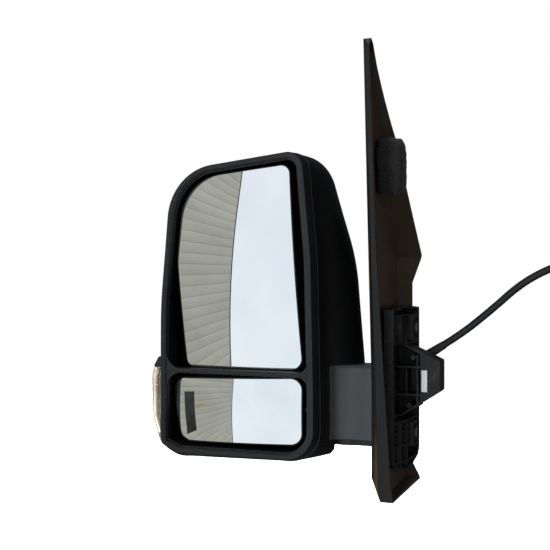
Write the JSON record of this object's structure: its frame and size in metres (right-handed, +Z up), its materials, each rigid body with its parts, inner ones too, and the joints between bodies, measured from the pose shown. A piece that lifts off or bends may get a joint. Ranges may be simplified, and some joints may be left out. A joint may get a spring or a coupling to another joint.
{
  "type": "car side mirror",
  "caption": "Folding door mirror for a large van with a tall main glass above a wide-angle glass, an indicator lamp, a triangular sail and a ribbed door bracket.",
  "frame": {"origin": "centre of the two-bolt pattern on the bracket's door face", "axes": "+X towards the door, +Y in the driving direction, +Z up; the glasses face -Y"},
  "size_m": [0.616, 0.13, 0.5463],
  "materials": {
    "bracket_black": "glass-filled black plastic, semi-matt",
    "black_grain": "moulded black plastic, fine grain, satin",
    "cast_aluminium": "die-cast, fine grain",
    "steel": "zinc-plated steel",
    "spring_steel": "oiled spring steel",
    "label_white": "blank paper label",
    "foam_black": "open-cell foam",
    "rubber_black": "soft black rubber",
    "cable_black": "black cable sheath, satin",
    "tie_black": "nylon strap",
    "connector_grey": "moulded connector plastic",
    "rim_black": "moulded black plastic, smoother satin",
    "inner_black": "moulded black plastic, matt",
    "bush_white": "bearing plastic, natural",
    "lens_clear": "clear prism lens",
    "board_green": "circuit board",
    "reflector": "metallised plastic",
    "motor_steel": "drawn steel can",
    "mirror_glass": "silvered glass",
    "heater_film": "printed heater film",
    "pad_white": "foam adhesive pad",
    "gear_white": "gear plastic, natural"
  },
  "bodies": {
    "base": {"base_bracket": "bracket_black", "sail_cover": "black_grain", "pivot_foot": "cast_aluminium", "pivot_spindle": "steel", "fold_spring": "spring_steel", "spring_washer": "steel", "pivot_nut": "steel", "detent_balls": "steel", "foot_screws": "steel", "bolt_inserts": "steel", "nose_label": "label_white", "foam_block": "foam_black", "cable_grommet": "rubber_black", "cable": "cable_black", "cable_coil": "cable_black", "cable_tail": "cable_black", "cable_tie": "tie_black", "connector": "connector_grey", "connector_latch": "connector_grey"},
    "head": {"rear_cover": "black_grain", "lower_cover": "black_grain", "arm_cover": "black_grain", "bezel_frame": "rim_black", "head_frame": "inner_black", "pivot_bush": "bush_white", "bezel_screws": "steel", "lamp_lens": "lens_clear", "lamp_housing": "rim_black", "lamp_board": "board_green", "lamp_reflector": "reflector", "actuator_front": "inner_black", "actuator_rear": "inner_black", "pan_motor": "motor_steel", "tilt_motor": "motor_steel", "lower_mount": "inner_black", "head_harness": "cable_black"},
    "main_ring": {"main_gimbal_ring": "inner_black"},
    "main_mirror": {"main_glass": "mirror_glass", "main_heater_pad": "heater_film", "main_glass_holder": "inner_black"},
    "lower_ring": {"lower_gimbal_ring": "inner_black"},
    "lower_mirror": {"lower_glass": "mirror_glass", "lower_glass_pad": "pad_white", "lower_glass_holder": "inner_black"},
    "pan_rod": {"pan_screw": "gear_white"},
    "tilt_rod": {"tilt_screw": "gear_white"},
    "pan_nut": {"pan_gear": "gear_white"},
    "tilt_nut": {"tilt_gear": "gear_white"}
  },
  "joints": [
    {"name": "fold", "type": "hinge", "parent": "base", "child": "head", "pos_m": [-0.08, -0.022, -0.03], "axis": [0, 0, 1], "range_deg": [-45, 55]},
    {"name": "main_pan", "type": "hinge", "parent": "head", "child": "main_ring", "pos_m": [-0.215, -0.054, 0.14], "axis": [0, 0, 1], "range_deg": [-7, 7]},
    {"name": "main_tilt", "type": "hinge", "parent": "main_ring", "child": "main_mirror", "pos_m": [-0.215, -0.054, 0.14], "axis": [1, 0, 0], "range_deg": [-7, 7]},
    {"name": "pan_screw_slide", "type": "slide", "parent": "head", "child": "pan_rod", "axis": [0, 1, 0], "range_m": [-0.00543, 0.00543]},
    {"name": "tilt_screw_slide", "type": "slide", "parent": "head", "child": "tilt_rod", "axis": [0, 1, 0], "range_m": [-0.00469, 0.00469]},
    {"name": "pan_gear_spin", "type": "hinge", "parent": "head", "child": "pan_nut", "pos_m": [-0.171, -0.032, 0.14], "axis": [0, 1, 0], "range_deg": [-488.6, 488.6]},
    {"name": "tilt_gear_spin", "type": "hinge", "parent": "head", "child": "tilt_nut", "pos_m": [-0.215, -0.032, 0.102], "axis": [0, 1, 0], "range_deg": [-422, 422]},
    {"name": "lower_pan", "type": "hinge", "parent": "head", "child": "lower_ring", "pos_m": [-0.212, -0.056, -0.038], "axis": [0, 0, 1], "range_deg": [-7, 7]},
    {"name": "lower_tilt", "type": "hinge", "parent": "lower_ring", "child": "lower_mirror", "pos_m": [-0.212, -0.056, -0.038], "axis": [1, 0, 0], "range_deg": [-7, 7]}
  ],
  "couplings": [
    {"joint": "pan_screw_slide", "follows": "main_pan", "m_per_rad": 0.044},
    {"joint": "tilt_screw_slide", "follows": "main_tilt", "m_per_rad": 0.038},
    {"joint": "pan_gear_spin", "follows": "main_pan", "ratio": 69.115},
    {"joint": "tilt_gear_spin", "follows": "main_tilt", "ratio": 59.69}
  ]
}
